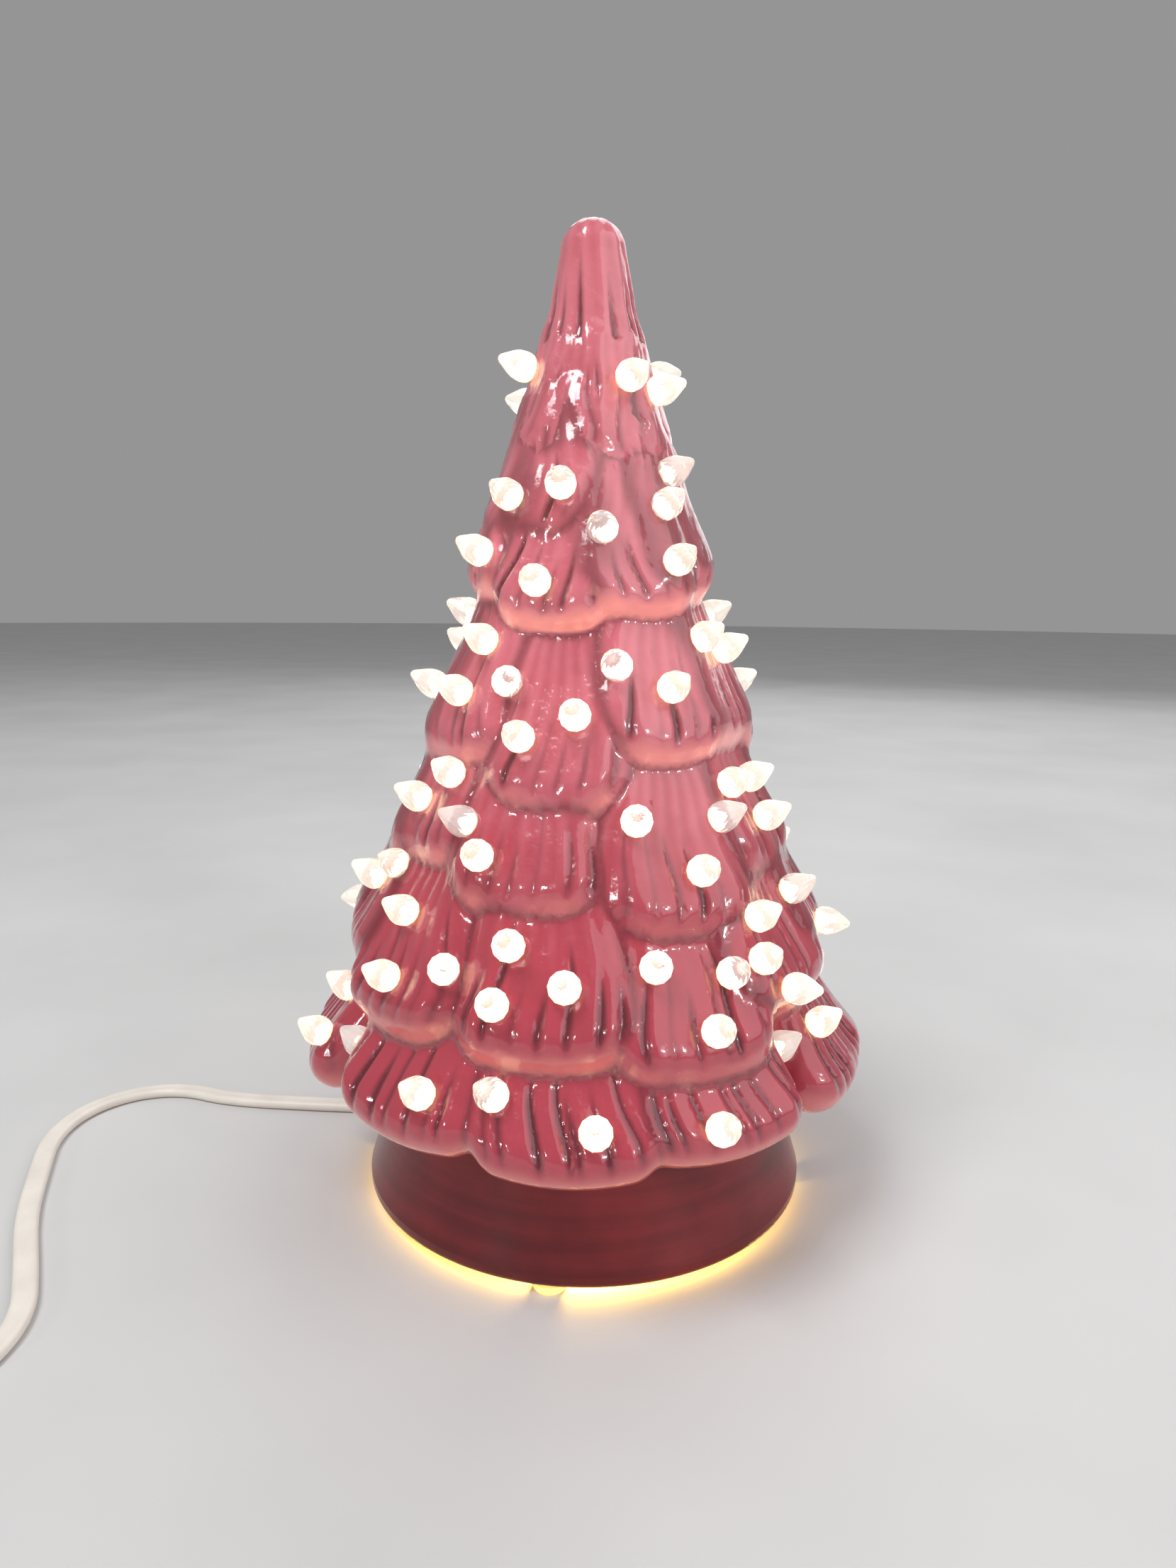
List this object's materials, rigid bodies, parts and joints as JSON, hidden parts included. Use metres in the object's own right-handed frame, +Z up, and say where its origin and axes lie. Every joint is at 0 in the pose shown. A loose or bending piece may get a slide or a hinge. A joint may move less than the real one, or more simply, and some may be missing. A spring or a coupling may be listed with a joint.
{
  "type": "lit ceramic christmas tree",
  "caption": "Glazed ceramic christmas tree with drooping boughs and clear light pegs, on a hollow lamp base with a screw-in bulb, corded and switched.",
  "frame": {"origin": "middle of the base, on the surface that its bumper feet stand on", "axes": "+Z up the tree, -Y towards the front, +X to the right seen from the front"},
  "size_m": [0.371, 0.195, 0.248],
  "materials": {
    "tree_glaze": "mauve pink gloss glaze, lit from inside",
    "base_glaze": "darker mauve gloss glaze",
    "peg_clear": "clear moulded plastic that glows",
    "bumper_clear": "clear soft stick-on bumper",
    "socket_phenolic": "moulded",
    "brass": "rolled brass",
    "brass_bright": "rolled brass",
    "spring_steel": "zinc plated",
    "solder": "tinned",
    "black_glass": "opaque vitrified",
    "bulb_clear": "clear",
    "filament": "lit wire",
    "cord_white": "soft extruded insulation",
    "tie_strap": "flat strap",
    "plug_white": "moulded",
    "blade_brass": "stamped",
    "switch_white": "moulded",
    "switch_wheel_white": "moulded, ribbed",
    "screw_steel": "plated"
  },
  "bodies": {
    "base": {"base_ring": "base_glaze", "bumper_feet": "bumper_clear", "socket_body": "socket_phenolic", "socket_shell": "brass", "socket_contact": "brass", "socket_clip": "spring_steel", "cord_lead": "cord_white", "cord_link": "cord_white", "cord_coil": "cord_white", "coil_tie": "tie_strap", "plug_body": "plug_white", "plug_blades": "blade_brass", "switch_case_lower": "switch_white", "switch_case_upper": "switch_white", "switch_screw": "screw_steel"},
    "tree": {"tree_shell_front": "tree_glaze", "tree_shell_back": "tree_glaze", "pegs_crown": "peg_clear", "pegs_upper": "peg_clear", "pegs_middle": "peg_clear", "pegs_lower": "peg_clear", "pegs_wide": "peg_clear", "pegs_skirt": "peg_clear"},
    "bulb_foot": {"bulb_foot": "solder"},
    "bulb": {"bulb_insulator": "black_glass", "bulb_shell": "brass_bright", "bulb_glass": "bulb_clear", "bulb_stem": "bulb_clear", "bulb_filament": "filament"},
    "switch_wheel": {"switch_wheel": "switch_wheel_white"}
  },
  "joints": [
    {"name": "tree_lift", "type": "slide", "parent": "base", "child": "tree", "axis": [0, 0, 1], "range_m": [0, 0.12]},
    {"name": "bulb_rise", "type": "slide", "parent": "base", "child": "bulb_foot", "axis": [0, 0, 1], "range_m": [0, 0.0102]},
    {"name": "bulb_turn", "type": "hinge", "parent": "bulb_foot", "child": "bulb", "pos_m": [0, 0, 0.02], "axis": [0, 0, 1], "range_deg": [0, 1440]},
    {"name": "switch_turn", "type": "hinge", "parent": "base", "child": "switch_wheel", "pos_m": [-0.18937, -0.10753, 0.0054], "axis": [0, 0, 1], "continuous": true}
  ],
  "couplings": [
    {"joint": "bulb_rise", "follows": "bulb_turn", "m_per_rad": 0.00040425}
  ]
}
